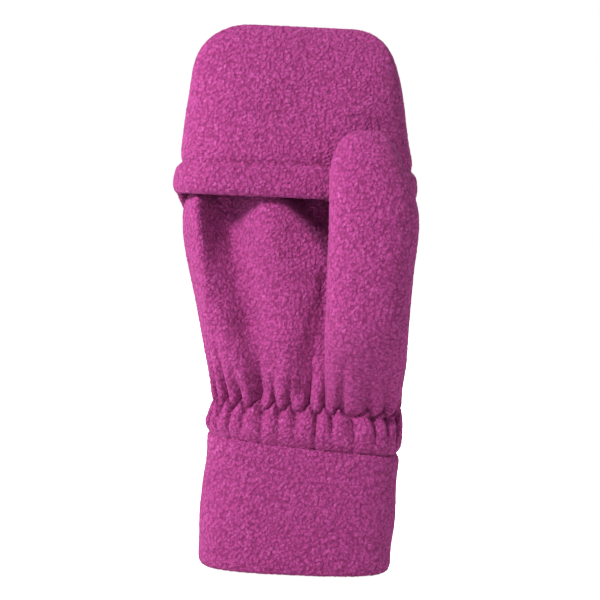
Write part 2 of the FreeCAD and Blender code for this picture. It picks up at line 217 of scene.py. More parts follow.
def move_points(piece, points):
    """Puts the piece's points at rows of x, y, z in millimetres."""
    piece.data.vertices.foreach_set("co", (points * MM).ravel())
    piece.data.update()


def smooth_step(value, low, high):
    """Rises from 0 at low to 1 at high, level at both ends."""
    t = np.clip((value - low) / (high - low), 0.0, 1.0)
    return t * t * (3 - 2 * t)


def sewn_tube(name, rows, power, count):
    """A walled and rounded tube of cloth, sewn shut at its last row."""
    bm, ring = tube(rows, power, count)
    zip_shut(bm, ring)
    piece = to_piece(bm, name)
    give_wall(piece, CLOTH)
    make_round(piece, 3)
    print(name, len(piece.data.vertices), "points")
    return piece


# %% [markdown]
# ## The pile
# Brushed fleece isn't smooth: its fibres clump into small tufts with dark gaps between them. Bump alone leaves the
# outline smooth, so the tufts are real: each point moves out by how near it is to the middle of its Voronoi cell. The
# same number is kept in an attribute, so the material can paint shade into the gaps. The loose fibres that stand off
# real fleece are too fine for this and are left out.

# %% Tufts
TUFT = 1.35                                     # size of one tuft
TUFT_HEIGHT = 0.34
PILE_SEED = 1795061610                          # fixes the bends between the tufts
noise.seed_set(PILE_SEED)                       # without a seed, noise_vector starts from the clock


def raise_pile(piece, seed, size=TUFT, height=TUFT_HEIGHT):
    """Raises the tufts, and keeps each point's tuft height and its tuft's own shade in attributes."""
    points = points_of(piece)
    normals = np.empty(len(points) * 3)
    piece.data.vertices.foreach_get("normal", normals)
    normals = normals.reshape(-1, 3)
    raised = np.empty(len(points))
    shade = np.empty(len(points))
    offset = Vector((seed * 17.3, seed * 5.1, seed * 9.7))
    for i, (x, y, z) in enumerate(points):
        place = Vector((x, y, z * 0.86)) / size + offset
        bend = noise.noise_vector(place * 0.8) * 0.55
        distances, centres = noise.voronoi(place + bend)
        ragged = noise.noise(place * 2.3)
        raised[i] = 1.0 - 1.25 * distances[0] + 0.30 * ragged
        shade[i] = noise.cell(centres[0] * 7.3)
    raised = np.clip(raised, -0.1, 1.2)
    move_points(piece, points + normals * ((raised - 0.45) * height)[:, None])
    for name, values in (("tuft", raised), ("shade", shade)):
        attribute = piece.data.attributes.new(name, "FLOAT", "POINT")
        attribute.data.foreach_set("value", values.astype(np.float32))
    print(piece.name, len(points), "points, tufts raised")


# %% [markdown]
# ## The fleece's look
# The colour, the painted shade in the gaps between tufts and between the curls inside a tuft, and the fine fibres are
# one node group, which keeps a long recipe in one place. The shader stays in the material: a rough Principled surface
# with a sheen, which lights up the cloth where it turns away.

# %% Fleece node group
def new_group(name, inputs, outputs):
    """A shader node group with its sockets and its two end nodes."""
    group = bpy.data.node_groups.new(name, "ShaderNodeTree")
    for label, kind, value in inputs:
        socket = group.interface.new_socket(name=label, in_out="INPUT", socket_type=kind)
        socket.default_value = value
    for label, kind in outputs:
        group.interface.new_socket(name=label, in_out="OUTPUT", socket_type=kind)
    return group, group.nodes.new("NodeGroupInput"), group.nodes.new("NodeGroupOutput")


def add_node(tree, kind, sockets=None, **settings):
    """A shader node with its settings and the values of some of its sockets."""
    node = tree.nodes.new("ShaderNode" + kind)
    for setting, value in settings.items():
        setattr(node, setting, value)
    for label, value in (sockets or {}).items():
        node.inputs[label].default_value = value
    return node


def colour(red, green, blue):
    """A screen colour from 0 to 255 as the linear colour that a socket holds."""
    def linear(value):
        value /= 255
        return value / 12.92 if value <= 0.04045 else ((value + 0.055) / 1.055) ** 2.4
    return (linear(red), linear(green), linear(blue), 1.0)


def make_fleece_group():
    group, given, result = new_group(
        "fleece_pile",
        [
            ("Tip", "NodeSocketColor", colour(198, 94, 165)),
            ("Body", "NodeSocketColor", colour(168, 64, 132)),
            # the colour on the next line is painted shade for the low places between tufts and curls
            ("Gap Shade", "NodeSocketColor", colour(118, 36, 86)),
            ("Tuft Scale", "NodeSocketFloat", 660.0),
            ("Fibre Scale", "NodeSocketFloat", 2300.0),
            ("Fibre Strength", "NodeSocketFloat", 0.9),
        ],
        [("Color", "NodeSocketColor"), ("Roughness", "NodeSocketFloat"), ("Normal", "NodeSocketVector")],
    )
    link = group.links.new
    place = add_node(group, "TexCoord").outputs["Object"]
    tuft = add_node(group, "Attribute", attribute_name="tuft").outputs["Fac"]
    shade = add_node(group, "Attribute", attribute_name="shade").outputs["Fac"]
    fibre = add_node(group, "TexNoise", {"Detail": 3.0, "Roughness": 0.65})
    link(place, fibre.inputs["Vector"])
    link(given.outputs["Fibre Scale"], fibre.inputs["Scale"])
    mottle = add_node(group, "TexNoise", {"Scale": 260.0, "Detail": 2.0})
    link(place, mottle.inputs["Vector"])

    # the curls: a bent Voronoi pattern; painted shade darkens its cells at their edges
    bend = add_node(group, "TexNoise", {"Scale": 900.0, "Detail": 1.0})
    link(place, bend.inputs["Vector"])
    bent = add_node(group, "VectorMath", {1: (0.0011, 0.0011, 0.0011)}, operation="MULTIPLY_ADD")
    link(bend.outputs["Color"], bent.inputs[0])
    link(place, bent.inputs[2])
    curl = add_node(group, "TexVoronoi")
    link(given.outputs["Tuft Scale"], curl.inputs["Scale"])
    link(bent.outputs["Vector"], curl.inputs["Vector"])
    crevice = add_node(group, "MapRange", {"From Min": 0.30, "From Max": 0.72, "To Min": 1.0, "To Max": 0.15})
    link(curl.outputs["Distance"], crevice.inputs["Value"])

    # painted shade: from the shade colour to the body's colour by the tuft's height and by the curls, darkest low
    # between tufts and at the curls' edges
    depth = add_node(group, "MapRange", {"From Min": 0.05, "From Max": 0.62})
    link(tuft, depth.inputs["Value"])
    curled = add_node(group, "Math", {1: 0.74, 2: -0.02}, operation="MULTIPLY_ADD")
    link(crevice.outputs["Result"], curled.inputs[0])
    unshaded = add_node(group, "Math", {1: 0.35}, operation="MULTIPLY_ADD")
    link(depth.outputs["Result"], unshaded.inputs[0])
    link(curled.outputs["Value"], unshaded.inputs[2])
    gap_shade = add_node(group, "Mix", data_type="RGBA")
    link(unshaded.outputs["Value"], gap_shade.inputs["Factor"])
    link(given.outputs["Gap Shade"], gap_shade.inputs["A"])
    link(given.outputs["Body"], gap_shade.inputs["B"])

    # towards the tip's colour on the tufts that are light by chance
    lightness = add_node(group, "Math", operation="MULTIPLY")
    link(shade, lightness.inputs[0])
    link(mottle.outputs["Fac"], lightness.inputs[1])
    tips = add_node(group, "MapRange", {"From Min": 0.12, "From Max": 0.60, "To Max": 0.55})
    link(lightness.outputs["Value"], tips.inputs["Value"])
    high = add_node(group, "Math", operation="MULTIPLY")
    link(tips.outputs["Result"], high.inputs[0])
    link(crevice.outputs["Result"], high.inputs[1])
    lit = add_node(group, "Mix", data_type="RGBA")
    link(high.outputs["Value"], lit.inputs["Factor"])
    link(gap_shade.outputs["Result"], lit.inputs["A"])
    link(given.outputs["Tip"], lit.inputs["B"])

    # the fibres make the colour lighter and darker
    speck = add_node(group, "MapRange", {"From Min": 0.3, "From Max": 0.7, "To Min": 0.70, "To Max": 1.26})
    link(fibre.outputs["Fac"], speck.inputs["Value"])
    final = add_node(group, "VectorMath", operation="SCALE")
    link(lit.outputs["Result"], final.inputs["Vector"])
    link(speck.outputs["Result"], final.inputs["Scale"])
    link(final.outputs["Vector"], result.inputs["Color"])

    rough = add_node(group, "MapRange", {"To Min": 0.98, "To Max": 0.82})
    link(depth.outputs["Result"], rough.inputs["Value"])
    link(rough.outputs["Result"], result.inputs["Roughness"])
    relief = add_node(group, "Math", {1: 0.7}, operation="MULTIPLY_ADD")
    link(fibre.outputs["Fac"], relief.inputs[0])
    link(crevice.outputs["Result"], relief.inputs[2])
    bump = add_node(group, "Bump", {"Distance": 0.0007})
    link(given.outputs["Fibre Strength"], bump.inputs["Strength"])
    link(relief.outputs["Value"], bump.inputs["Height"])
    link(bump.outputs["Normal"], result.inputs["Normal"])
    return group


# %% Fleece material
def surfaced(name, group, values, surface):
    """A material whose Principled shader has the surface's values and reads every output of the group."""
    material = bpy.data.materials.new(name)
    material.use_nodes = True
    shader = material.node_tree.nodes["Principled BSDF"]
    for label, value in surface.items():
        shader.inputs[label].default_value = value
    effect = add_node(material.node_tree, "Group", node_tree=group)
    for label, value in values.items():
        effect.inputs[label].default_value = value
    for output in effect.outputs:
        target = "Base Color" if output.name == "Color" else output.name
        material.node_tree.links.new(output, shader.inputs[target])
    return material


magenta_fleece = surfaced("magenta_fleece", make_fleece_group(), {}, {
    "Specular IOR Level": 0.12,
    "Sheen Weight": 0.30,
    "Sheen Roughness": 0.45,
    "Sheen Tint": colour(232, 120, 195),
})


def dress(piece, material, body, slot, *nodes):
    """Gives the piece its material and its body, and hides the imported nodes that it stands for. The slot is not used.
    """
    piece.data.materials.clear()
    piece.data.materials.append(material)
    if body:
        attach(piece, body)
    if nodes:
        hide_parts(*nodes)


# %% [markdown]
# ## The cuff
# The cuff is one strip folded double, so its lower rim is a round fold and not a cut edge. Solidify could give it a
# wall, but the band is already a closed shape seen from its end. So the tube starts inside at the top, runs down the
# inner layer, turns the fold, comes up the outer layer and turns in at the joining seam, and a bridge closes it there.

# %% Build the cuff
SQUARENESS = 2.8                                # of the outlines of the cuff, hand and hood
CUFF_TOP_X = 2.5                                # middle of the cuff's top
CUFF_SEAM_SLOPE = -0.075                        # the joining seam runs downhill towards the thumb side
CUFF_LAYER_GAP = 0.6


def seam_height(drop):
    """Height of a line that lies this much below the joining seam."""
    return lambda x, y: CUFF_TOP + CUFF_SEAM_SLOPE * (x - CUFF_TOP_X) - drop


def grown(row, inset, z):
    """A row of (left, right, front, back) drawn in by inset, at a height."""
    left, right, front, back = row
    return (left + inset, right - inset, front + inset, back - inset, z)


CUFF_LOW = (-44.8, 44.9, -23.0, 23.0)
CUFF_MID = (-45.1, 45.6, -22.4, 22.4)
CUFF_HIGH = (-43.3, 46.8, -21.2, 21.2)


def build_cuff():
    inner = 2 * CLOTH + CUFF_LAYER_GAP
    rows = [
        grown(CUFF_HIGH, inner, seam_height(3.0)),
        grown(CUFF_HIGH, inner, 46.0),
        grown(CUFF_MID, inner, 33.0),
        grown(CUFF_MID, inner, 20.0),
        grown(CUFF_LOW, inner + 0.1, 9.0),
        grown(CUFF_LOW, inner - 0.3, 3.4),
        grown(CUFF_LOW, CLOTH + CUFF_LAYER_GAP, 0.2),
        grown(CUFF_LOW, 0.5, 1.4),
        grown(CUFF_LOW, -0.3, 5.0),
        grown(CUFF_LOW, -0.1, 10.0),
        grown(CUFF_MID, 0.0, 20.0),
        grown(CUFF_MID, 0.0, 31.0),
        grown(CUFF_MID, 0.3, 42.0),
        grown(CUFF_HIGH, 0.2, 50.0),
        grown(CUFF_HIGH, 0.0, seam_height(3.2)),
        grown(CUFF_HIGH, 0.9, seam_height(1.2)),
        grown(CUFF_HIGH, 3.2, seam_height(0.8)),
    ]
    bm, _ = tube(rows, SQUARENESS, 48)
    open_edges = [e for e in bm.edges if e.is_boundary]
    bmesh.ops.bridge_loops(bm, edges=open_edges)
    piece = to_piece(bm, "cuff_folded_band")
    make_round(piece, 3)
    return piece


cuff = build_cuff()


def soften_cuff(piece):
    """Slow hollows and swells, so that the band doesn't look machined."""
    p = points_of(piece)
    wave = np.array([noise.noise(Vector((x / 34, y / 34, z / 26 + 3))) for x, y, z in p])
    out = p[:, :2] / np.linalg.norm(p[:, :2], axis=1)[:, None]
    lift = wave * 1.3 * smooth_step(p[:, 2], 0.5, 14.0)
    p[:, :2] += out * lift[:, None]
    move_points(piece, p)


soften_cuff(cuff)
raise_pile(cuff, 1)
dress(cuff, magenta_fleece, "hand", "fleece", "cuff_band")

# %% [markdown]
# ## The hand
# The hand is one tube from the joining seam to the knuckles. It bulges above the cuff, is drawn in by the elastic, and
# widens to the knuckles. The front and the back are two panels on the real mitten, so the finished tube is cut along
# its sides at the end.

# %% Build the hand's tube
HAND_POINTS = 56                                # round the hand, the hood and the elastic
WRIST = (-40.9, 46.6, -17.6, 17.2)              # left, right, front, back where the elastic draws the cloth in
HAND = [
    # left, right, front, back at each height
    (-39.0, 42.6, -17.0, 17.0, seam_height(4.6)),
    (-41.2, 44.9, -19.3, 19.2, seam_height(1.2)),
    (-43.4, 47.2, -21.4, 21.0, seam_height(-1.4)),
    (-44.0, 48.0, -22.2, 21.6, seam_height(-4.6)),
    (-43.6, 48.0, -22.0, 21.2, 68.5),
    (-42.4, 47.6, -20.4, 19.8, 72.5),
    (*WRIST, Z_ELASTIC),
    (-41.6, 46.9, -19.4, 18.3, 81.5),
    (-42.6, 46.9, -20.6, 18.8, 87.0),
    (-44.0, 46.4, -21.3, 19.0, 94.0),
    (-46.0, 45.8, -21.9, 19.2, 102.0),
    (-48.2, 45.3, -22.2, 19.2, 111.0),
    (-50.2, 44.9, -22.3, 19.2, 120.0),
    (-52.1, 44.5, -22.3, 18.9, 129.0),
    (-54.6, 44.1, -22.2, 18.5, 138.0),
    (-56.5, 43.7, -22.1, 17.9, 147.0),
    (-57.9, 43.4, -21.9, 17.5, 156.0),
    (-58.2, 43.0, -21.6, 17.3, 164.0),
    (-56.6, 42.6, -21.0, 16.8, 170.0),
    (-53.8, 40.2, -17.6, 15.2, 174.2),
    (-49.0, 35.6, -10.6, 12.6, 175.8),
    (-44.0, 30.6, -3.6, 7.6, 176.0),
]


hand = sewn_tube("hand_tube", HAND, SQUARENESS, HAND_POINTS)

# %% [markdown]
# ## Gathers and folds
# The elastic pulls the cloth into small pleats, and the relaxed palm sinks into long folds under the hem. A cloth
# simulation would find folds of its own. These have chosen places, and the layers lie too close together for cloth to
# move freely, so the folds are pushed in one by one. Each fold is a line with a width and a depth. The gathers are
# lobes round the wrist, each with its own reach, and the lobes below the elastic sit between those above it.

# %% Gathers round the wrist
ELASTIC_SLOPE = -0.034
WRIST_X = 3.0                                   # middle of the wrist
WRIST_HALF_WIDTH = 46.0
WRIST_HALF_DEPTH = 20.0
WRIST_SIDE = 19.0                               # the palm and the back turn into the sides here
SIDE_Y = -1.5                                   # where the front and back panels meet
LOOP_PATCH_X = sum(corner.x for corner in node_box("loop_patch")) / 2
HALF_WAY = 125.2                                # distance round the wrist from the middle of the palm to the back's
PLEATS = 29                                     # all round the wrist
PLEAT = 2 * HALF_WAY / PLEATS
GATHER_REACH = 36.0                             # no pleat goes further than this from the elastic
GATHER_SEED = 1.5


def elastic_height(x, y):
    return Z_ELASTIC + ELASTIC_SLOPE * (x - WRIST_X)


def round_wrist(x, y):
    """How far round the wrist a point lies: along the palm, over the side seam and along the back."""
    x, y = x - WRIST_X, np.clip(y, -WRIST_SIDE, WRIST_SIDE)
    corner = np.clip(x / 8.0, -1.0, 1.0)
    front = x + corner * (WRIST_SIDE + y)
    back = HALF_WAY * np.where(x < 0, -1.0, 1.0) - x - corner * (WRIST_SIDE - y)
    return np.where(y < SIDE_Y, front, back)


def gather(points):
    """Pleats round the wrist. The lobes below the elastic sit between those above, so its line runs in a zigzag."""
    x, y, z = points.T
    around = round_wrist(x, y)
    height = z - elastic_height(x, y)
    free = smooth_step(np.abs(y - SIDE_Y), 0.3, 7.0)    # the side seams hold the cloth flat
    under_patch = 1 - smooth_step(np.abs(x - LOOP_PATCH_X), 15.0, 21.0)
    free *= 1 - under_patch * smooth_step(y, 2.0, 8.0) * smooth_step(height, 0.5, 4.5)
    shift = np.zeros(len(points))
    for i in np.flatnonzero(np.abs(height) < GATHER_REACH):
        panel = GATHER_SEED + (3.0 if y[i] > SIDE_Y else 0.0)
        drift = 3.2 * noise.noise(Vector((x[i] / 17, height[i] / 46, panel)))
        drift += 1.2 * noise.noise(Vector((x[i] / 9, height[i] / 26, panel + 5)))
        phase = (around[i] + drift) / PLEAT
        upper, lower = abs(math.sin(math.pi * phase)), abs(math.cos(math.pi * phase))
        rise = height[i] + 1.9 * (2 * upper - 1)
        # from 0 to 1, one for the lobe above and one for the lobe below: how deep and how long the pleat is
        luck = [
            0.5 + 0.5 * noise.cell(Vector(((math.floor(phase + half) % PLEATS) * 1.7, GATHER_SEED, half)))
            for half in (0.5, 0.0)
        ]
        up_fade = math.exp(-((max(rise, 0) / (7.5 + 9 * luck[0])) ** 1.5))
        low_fade = math.exp(-((min(rise, 0) / (8 + 6 * luck[1])) ** 2))
        width = 0.6 + 0.6 * min(max(rise, 0) / 12, 1.0)
        over = 1.2 * upper * math.exp(-((max(rise, 0) / 12) ** 1.5))
        over -= (1 - upper ** width) * (2.9 + 1.9 * luck[0]) * up_fade
        under = 1.1 * lower * math.exp(-((min(rise, 0) / 11) ** 2))
        under -= (1 - lower ** 0.7) * (2.0 + 1.2 * luck[1]) * low_fade
        side = min(max((rise + 1.1) / 2.2, 0.0), 1.0)
        pleat = side * over + (1 - side) * under - 1.8 * math.exp(-((rise / 1.3) ** 2))
        shift[i] = free[i] * pleat - (1 - free[i]) * 2.1 * math.exp(-((height[i] / 1.6) ** 2))
    out = np.stack([(x - WRIST_X) / WRIST_HALF_WIDTH ** 2, y / WRIST_HALF_DEPTH ** 2], axis=1)
    out /= np.linalg.norm(out, axis=1)[:, None] + 1e-9
    moved = points.copy()
    moved[:, :2] += out * shift[:, None]
    return moved


# %% Folds of the palm
PALM_FOLDS = [
    # from (x, z), to (x, z), width, depth at the start, depth at the end; a negative depth is a ridge
    ((-40.5, 182.0), (-25.0, 112.0), 8.0, 15.0, 4.5),
    ((-29.5, 182.0), (-28.0, 166.0), 3.8, 5.5, 0.4),
    ((-18.0, 172.0), (-5.0, 112.0), 9.0, -2.8, -1.4),
    ((-52.0, 178.0), (-45.0, 118.0), 5.0, -7.5, -2.2),
    ((8.5, 136.0), (9.5, 84.0), 3.6, 2.2, 1.6),
    ((-24.5, 116.0), (-18.0, 84.0), 5.0, 2.2, 3.2),
    ((-38.0, 116.0), (-30.0, 92.0), 7.0, -2.0, -1.6),
    ((5.0, 122.0), (1.0, 84.0), 4.2, 1.2, 3.0),
    ((-9.0, 112.0), (-8.0, 90.0), 5.0, -1.0, -1.4),
]
SLUMP_FROM = (-12.0, 172.0)                     # the cloth drops away on the thumb's side of this line
SLUMP_OUT = (0.749, 0.663)                      # the direction across that line
SLUMP_DEPTH = 12.5
DEEPEST = 17.0                                  # how far a fold may sink
DEEPEST_AT_SLEEVES = 12.5                       # the finger sleeves begin behind the top of the palm


def fold_palm(points):
    """Pushes the folds into the palm side only."""
    x, y, z = points.T
    inwards = np.zeros(len(points))
    for (x0, z0), (x1, z1), width, deep0, deep1 in PALM_FOLDS:
        along = np.array([x1 - x0, z1 - z0])
        length = np.linalg.norm(along)
        along /= length
        t = np.clip(((x - x0) * along[0] + (z - z0) * along[1]) / length, 0, 1)
        away = np.hypot(x - (x0 + t * length * along[0]), z - (z0 + t * length * along[1]))
        inwards += (deep0 + (deep1 - deep0) * t) * np.exp(-((away / width) ** 2))
    past = (x - SLUMP_FROM[0]) * SLUMP_OUT[0] + (z - SLUMP_FROM[1]) * SLUMP_OUT[1]
    inwards += SLUMP_DEPTH * smooth_step(past, -2.0, 6.5) * (1 - 0.85 * smooth_step(x, 18.0, 34.0))
    side = smooth_step(-y, 3.0, 14.0)
    deepest = DEEPEST - (DEEPEST - DEEPEST_AT_SLEEVES) * smooth_step(z, 156.0, 168.0)
    room = 0.75 * np.maximum(SIDE_Y - 1.5 - y, 0.0)    # no fold reaches past the side seam
    moved = points.copy()
    moved[:, 1] += np.minimum(np.minimum(inwards, deepest) * side, room)
    return moved


def loosen(points, seed, size, strength):
    """Slow random swells, the same on both sides of the wall. The back is calmer, as the hood lies close on it."""
    calm = 1 - 0.75 * smooth_step(points[:, 1], -2.0, 6.0)
    moved = points.copy()
    for i, (x, y, z) in enumerate(points):
        moved[i, 1] += calm[i] * strength * noise.noise(Vector((x / size, z / size, seed + (2 if y > 0 else 0))))
        moved[i, 0] += 0.5 * strength * noise.noise(Vector((y / size, z / size, seed + 7)))
    return moved


shaped = loosen(points_of(hand), 2.0, 26.0, 1.3)
move_points(hand, gather(fold_palm(shaped)))

# %% Cut the hand into its two panels
def half_of(piece, name, y_cut, keep_front):
    """A copy of the piece on one side of a plane across Y, with the cut closed."""
    bm = bmesh.new()
    bm.from_mesh(piece.data)
    geometry = bm.verts[:] + bm.edges[:] + bm.faces[:]
    bmesh.ops.bisect_plane(
        bm, geom=geometry, plane_co=(0, y_cut * MM, 0), plane_no=(0, 1, 0),
        clear_outer=keep_front, clear_inner=not keep_front,
    )
    rims = [e for e in bm.edges if e.is_boundary]
    closing = bmesh.ops.holes_fill(bm, edges=rims, sides=0)["faces"]
    for face in closing:
        face.smooth = False
    bmesh.ops.triangulate(bm, faces=closing, ngon_method="EAR_CLIP")
    mesh = bpy.data.meshes.new(name)
    bm.to_mesh(mesh)
    bm.free()
    half = bpy.data.objects.new(name, mesh)
    bpy.context.collection.objects.link(half)
    return half


raise_pile(hand, 2)
palm = half_of(hand, "palm_cloth", SIDE_Y, True)
back = half_of(hand, "back_cloth", SIDE_Y, False)
bpy.data.objects.remove(hand)
dress(palm, magenta_fleece, "hand", "fleece", "palm_panel")
dress(back, magenta_fleece, "hand", "fleece", "back_panel")

# %% [markdown]
# ## The hood
# The hood is a flat pocket. Its free edge is turned in once and sewn, which makes a band that stands proud of the rest.
# The tube starts at the inside top of that band, runs down, turns the fold, comes up the outside, dips into the row of
# stitches and goes on to the tip, where it is zipped shut. The hood turns about its seam on the back of the hand. Its
# back is given no body and stays where it is built.

# %% Build the hood
BACK_DROP = Z_HEM - HOOD_HINGE.z                # the edge lies this much lower at the back


def hem_edge(rise, share=1.0):
    """Height of a line that follows the hood's edge: level in front, falling to the seam at the back."""
    def height(x, y):
        fall = BACK_DROP * smooth_step(np.array([y]), 2.0, 19.0)[0]
        return Z_HEM + rise - share * fall
    return height


HEM_GROOVE = hem_edge(14.2, 0.84)               # the hem's stitches lie in it
HOOD = [
    # left, right, front, back at each height
    (-57.6, 43.6, -22.9, 19.4, hem_edge(13.4)),
    (-57.5, 43.5, -22.8, 19.3, hem_edge(9.0)),
    (-57.5, 43.5, -22.8, 19.4, hem_edge(4.0)),
    (-58.8, 44.8, -24.0, 19.9, hem_edge(0.6)),
    (-60.6, 46.6, -26.0, 20.4, hem_edge(-0.6)),
    (-62.4, 48.2, -27.8, 21.4, hem_edge(0.9)),
    (-63.2, 48.9, -28.5, 21.9, hem_edge(3.8)),
    (-62.9, 48.8, -28.5, 21.9, hem_edge(7.5, 0.97)),
    (-62.0, 48.2, -28.3, 21.8, hem_edge(11.4, 0.92)),
    (-60.4, 46.9, -27.2, 21.6, hem_edge(13.2, 0.87)),
    (-59.0, 45.6, -25.4, 21.3, HEM_GROOVE),
    (-59.4, 45.9, -26.2, 21.4, hem_edge(15.6, 0.82)),
    (-59.8, 46.2, -27.0, 21.4, hem_edge(18.4, 0.76)),
    (-59.4, 45.2, -26.7, 21.0, hem_edge(23.0, 0.64)),
    (-58.8, 44.0, -26.3, 20.5, hem_edge(28.5, 0.50)),
    (-58.3, 43.0, -25.6, 19.8, hem_edge(34.5, 0.34)),
    (-57.7, 41.9, -24.5, 18.6, hem_edge(41.0, 0.20)),
    (-57.0, 40.7, -22.8, 17.0, hem_edge(47.5, 0.10)),
    (-56.4, 39.4, -20.6, 15.0, hem_edge(54.0, 0.04)),
    (-55.4, 37.8, -17.8, 12.6, 232.0),
    (-53.4, 35.8, -14.6, 9.8, 237.4),
    (-50.2, 33.0, -11.4, 7.0, 242.2),
    (-45.2, 29.0, -8.4, 4.4, 246.4),
    (-38.6, 23.4, -5.6, 2.0, 249.2),
    (-33.0, 18.2, -3.6, 0.4, 250.0),
]


hood = sewn_tube("hood_pocket", HOOD, SQUARENESS, HAND_POINTS)


def settle_hood(points):
    """Soft hollows in the hood: it is empty above the fingertips."""
    x, y, z = points.T
    moved = loosen(points, 5.0, 30.0, 1.6)
    front = smooth_step(-y, -2.0, 9.0) * smooth_step(z, 190.0, 205.0)
    hollow = 2.2 * np.exp(-(((x - 2) / 30) ** 2) - ((z - 214) / 20) ** 2)
    moved[:, 1] += hollow * front
    return moved


move_points(hood, settle_hood(points_of(hood)))
raise_pile(hood, 3)
hood_front = half_of(hood, "hood_front_cloth", SIDE_Y, True)
hood_back = half_of(hood, "hood_back_cloth", SIDE_Y, False)
bpy.data.objects.remove(hood)
dress(hood_front, magenta_fleece, "hood", "fleece", "hood_front_panel", "hood_hem")
dress(hood_back, magenta_fleece, None, "fleece", "hood_back_panel")
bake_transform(hood_back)
print("hood's back bends between", HOOD_HINGE.z - 1.0, "and", HOOD_HINGE.z + 5.0)

# %% [markdown]
# ## The thumb
# The thumb is a long narrow tube. It grows out of the palm just above the wrist, leans forwards, and ends in a round
# tip that is bent towards the fingers. Its lowest rings lie inside the palm, so the two cloths cross at its root and
# meet in a crease. Its root is sewn to the hand and its tip swings, but the tube is given no body
# and stays where it is built.

# %% Build the thumb
THUMB = [
    # left, right, front, back at each height
    (13.0, 43.6, -15.6, -6.0, 72.5),
    (11.6, 44.6, -19.2, -7.0, 77.0),
    (10.6, 45.4, -23.6, -8.6, 82.0),
    (10.1, 45.9, -29.0, -10.6, 88.0),
    (9.8, 46.2, -34.8, -13.2, 94.5),
    (9.5, 46.4, -40.4, -16.0, 101.5),
    (9.3, 46.4, -45.4, -18.0, 108.5),
    (9.1, 46.2, -49.0, -20.0, 115.5),
    (9.0, 46.1, -51.0, -22.6, 122.5),
    (9.0, 46.1, -52.0, -24.2, 130.0),
    (8.9, 46.6, -53.2, -25.0, 137.5),
    (8.9, 47.2, -54.4, -25.6, 145.0),
    (8.6, 47.6, -55.4, -26.4, 152.5),
    (8.3, 47.8, -56.2, -27.2, 160.0),
    (8.2, 47.4, -56.6, -28.2, 167.5),
    (7.9, 45.6, -56.6, -29.0, 174.5),
    (7.6, 43.2, -56.4, -29.8, 181.0),
    (7.8, 40.2, -55.4, -30.8, 187.0),
    (9.2, 37.4, -53.6, -32.2, 192.6),
    (11.6, 34.6, -51.0, -34.2, 197.4),
    (14.8, 31.6, -47.6, -37.0, 200.8),
    (18.2, 28.6, -44.6, -39.8, 202.2),
]


thumb = sewn_tube("thumb_tube", THUMB, 2.3, 28)
move_points(thumb, gather(loosen(points_of(thumb), 9.0, 22.0, 1.0)))
raise_pile(thumb, 4)
dress(thumb, magenta_fleece, None, "fleece", "thumb_front_panel", "thumb_back_panel", "thumb_gusset")
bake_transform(thumb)

# %% [markdown]
# ## Half-finger sleeves
# Under the hood four short sleeves hold the fingers. Each one is a tube whose top edge is turned in and sewn, so it is
# made as the cuff is: from the inside of its hem, up over the fold and down the outside into the hand.

# %% Build the four sleeves
SLEEVE_WALL = 1.6
FINGERS = ("little", "ring", "middle", "index")


def sleeve_rows(low, high):
    """Rows of one sleeve, from the inside of its hem over the fold and down to the hand."""
    def row(inset, z):
        return (low.x + inset, high.x - inset, low.y + inset, high.y - inset, z)
    top, base = high.z, low.z
    return [
        row(3.3, top - 6.0), row(3.3, top - 3.4), row(3.2, top - 1.2), row(1.9, top + 0.3), row(0.5, top - 0.9),
        row(0.1, top - 3.2), row(0.3, top - 5.2), row(0.7, top - 6.4), row(0.4, top - 7.6), row(0.1, base + 3.0),
        row(-0.2, base + 1.0), row(-0.3, base - 1.2),
    ]


def build_sleeve(name, seed):
    low, high = node_box(name + "_finger_sleeve")
    bm, _ = tube(sleeve_rows(low, high), 2.2, 24)
    piece = to_piece(bm, name + "_finger_cloth")
    give_wall(piece, SLEEVE_WALL)
    make_round(piece, 2)
    move_points(piece, loosen(points_of(piece), seed, 12.0, 0.7))
    raise_pile(piece, seed)
    return piece


for number, finger in enumerate(FINGERS):
    sleeve = build_sleeve(finger, 11 + number)
    stands_for = [finger + "_finger_sleeve"] + (["finger_sleeve_hems"] if number == 0 else [])
    dress(sleeve, magenta_fleece, "hand", "fleece", *stands_for)

# %% [markdown]
# ## The elastic
# A knitted band runs round the inside of the wrist and shows when one looks up the cuff. It follows the same pleats as
# the cloth, because it is sewn to it, so it goes through the same gather field. Its grain is a second node group, which
# the thread, the tapes and the label use too, each with its own values.

# %% Elastic, thread, tape and label materials
def make_grain_group():
    """A woven or moulded finish: a colour that varies a little, and a fine relief."""
    group, given, result = new_group(
        "fine_grain",
        [
            ("Dark", "NodeSocketColor", colour(128, 128, 128)),
            ("Light", "NodeSocketColor", colour(160, 160, 160)),
            ("Grain Scale", "NodeSocketFloat", 2400.0),
            ("Relief", "NodeSocketFloat", 0.5),
        ],
        [("Color", "NodeSocketColor"), ("Normal", "NodeSocketVector")],
    )
    link = group.links.new
    grain = add_node(group, "TexNoise", {"Detail": 3.0})
    link(add_node(group, "TexCoord").outputs["Object"], grain.inputs["Vector"])
    link(given.outputs["Grain Scale"], grain.inputs["Scale"])
    vary = add_node(group, "Mix", data_type="RGBA")
    link(grain.outputs["Fac"], vary.inputs["Factor"])
    link(given.outputs["Dark"], vary.inputs["A"])
    link(given.outputs["Light"], vary.inputs["B"])
    link(vary.outputs["Result"], result.inputs["Color"])
    bump = add_node(group, "Bump", {"Distance": 0.0003})
    link(given.outputs["Relief"], bump.inputs["Strength"])
    link(grain.outputs["Fac"], bump.inputs["Height"])
    link(bump.outputs["Normal"], result.inputs["Normal"])
    return group


fine_grain = make_grain_group()


def grained(name, light, roughness, scale, relief, sheen=0.0):
    """A material with the grain, which is darkest at about three quarters of the light colour."""
    dark = tuple(0.72 * channel for channel in light[:3]) + (1.0,)
    return surfaced(
        name, fine_grain,
        {"Dark": dark, "Light": light, "Grain Scale": scale, "Relief": relief},
        {"Roughness": roughness, "Specular IOR Level": 0.3, "Sheen Weight": sheen},
    )


